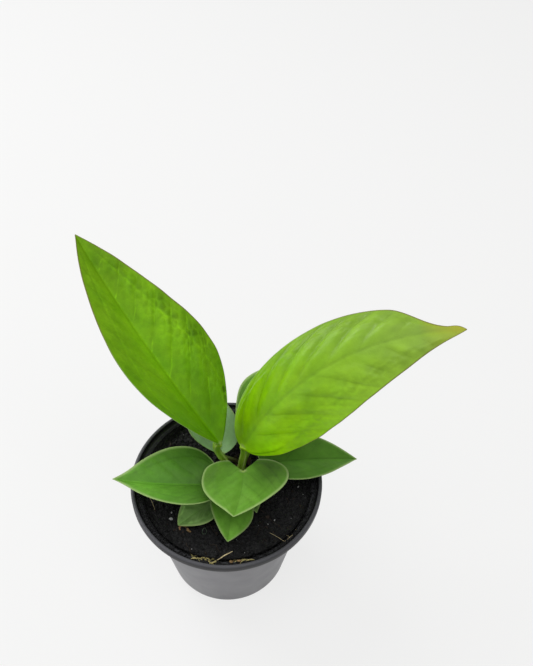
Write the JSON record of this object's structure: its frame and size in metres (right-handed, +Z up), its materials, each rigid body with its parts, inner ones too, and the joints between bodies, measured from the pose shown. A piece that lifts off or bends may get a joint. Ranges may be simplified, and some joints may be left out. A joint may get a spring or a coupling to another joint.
{
  "type": "potted anthurium",
  "caption": "Young anthurium with smooth pointed green leaves, the tallest arching above the rest, in dark potting mix in a plain tapered round nursery pot that stands on its flat base.",
  "frame": {"origin": "middle of the pot's flat underside, on the surface it stands on", "axes": "+Z up along the pot's axis; -Y towards the side that the heart-shaped front leaf faces; +X towards the arching tall leaf"},
  "size_m": [0.2297, 0.1703, 0.2047],
  "materials": {
    "pot_plastic": "grey moulded plastic wall with a satin face, and a darker rolled lip",
    "potting_mix": "moist, near black peat and bark mix with a few white grains",
    "crown": "short green-brown stem with dry leaf scars",
    "petioles": "green, channelled leaf stalks with pale edges",
    "leaf_tall_left": "mid green blade, satin, quilted between sunken side veins",
    "leaf_tall_right": "young lime green blade, glossy, quilted between sunken side veins",
    "leaf_left": "deep green blade, satin",
    "leaf_front_heart": "heart-shaped green blade, satin",
    "leaf_front_low": "dark green blade, satin",
    "leaf_front_left_low": "dark green blade, satin",
    "leaf_right": "dark green blade, satin",
    "leaf_back_left": "grey green blade, satin",
    "leaf_back_right": "green blade, satin",
    "leaf_bud_front": "small pale green blade, satin"
  },
  "bodies": {
    "root": {"pot": "pot_plastic", "soil": "potting_mix", "crown": "crown", "leaf_tall_left_blade": "leaf_tall_left", "leaf_tall_left_petiole": "petioles", "leaf_tall_right_blade": "leaf_tall_right", "leaf_tall_right_petiole": "petioles", "leaf_left_blade": "leaf_left", "leaf_left_petiole": "petioles", "leaf_front_heart_blade": "leaf_front_heart", "leaf_front_heart_petiole": "petioles", "leaf_front_low_blade": "leaf_front_low", "leaf_front_low_petiole": "petioles", "leaf_front_left_low_blade": "leaf_front_left_low", "leaf_front_left_low_petiole": "petioles", "leaf_right_blade": "leaf_right", "leaf_right_petiole": "petioles", "leaf_back_left_blade": "leaf_back_left", "leaf_back_left_petiole": "petioles", "leaf_back_right_blade": "leaf_back_right", "leaf_back_right_petiole": "petioles", "leaf_bud_front_blade": "leaf_bud_front", "leaf_bud_front_petiole": "petioles"}
  },
  "joints": []
}
